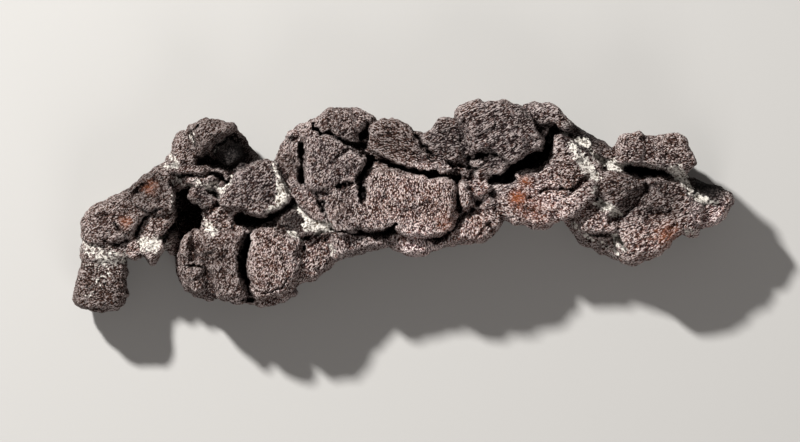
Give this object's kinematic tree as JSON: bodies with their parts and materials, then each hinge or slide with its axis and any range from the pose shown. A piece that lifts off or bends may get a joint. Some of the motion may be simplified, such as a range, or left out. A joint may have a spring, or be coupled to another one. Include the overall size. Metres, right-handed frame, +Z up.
{
  "type": "coprolite",
  "caption": "Lumpy fossil stone formed as a cord laid down in folds: overlapping plates and lobes with cracks between them, one bent arm and a blunt pointed end, lying flat.",
  "frame": {"origin": "under the middle of the stone's bounding box, on the surface that it rests on", "axes": "+X along the stone from the bent arm to the blunt pointed end, +Y across it towards the side with the hump and the slab, +Z up"},
  "size_m": [0.221, 0.0706, 0.0364],
  "materials": {
    "ironstone": "rough granular crust, dark brown with a purple cast, cream sediment in the crevices"
  },
  "bodies": {
    "root": {"coprolite": "ironstone"}
  },
  "joints": []
}
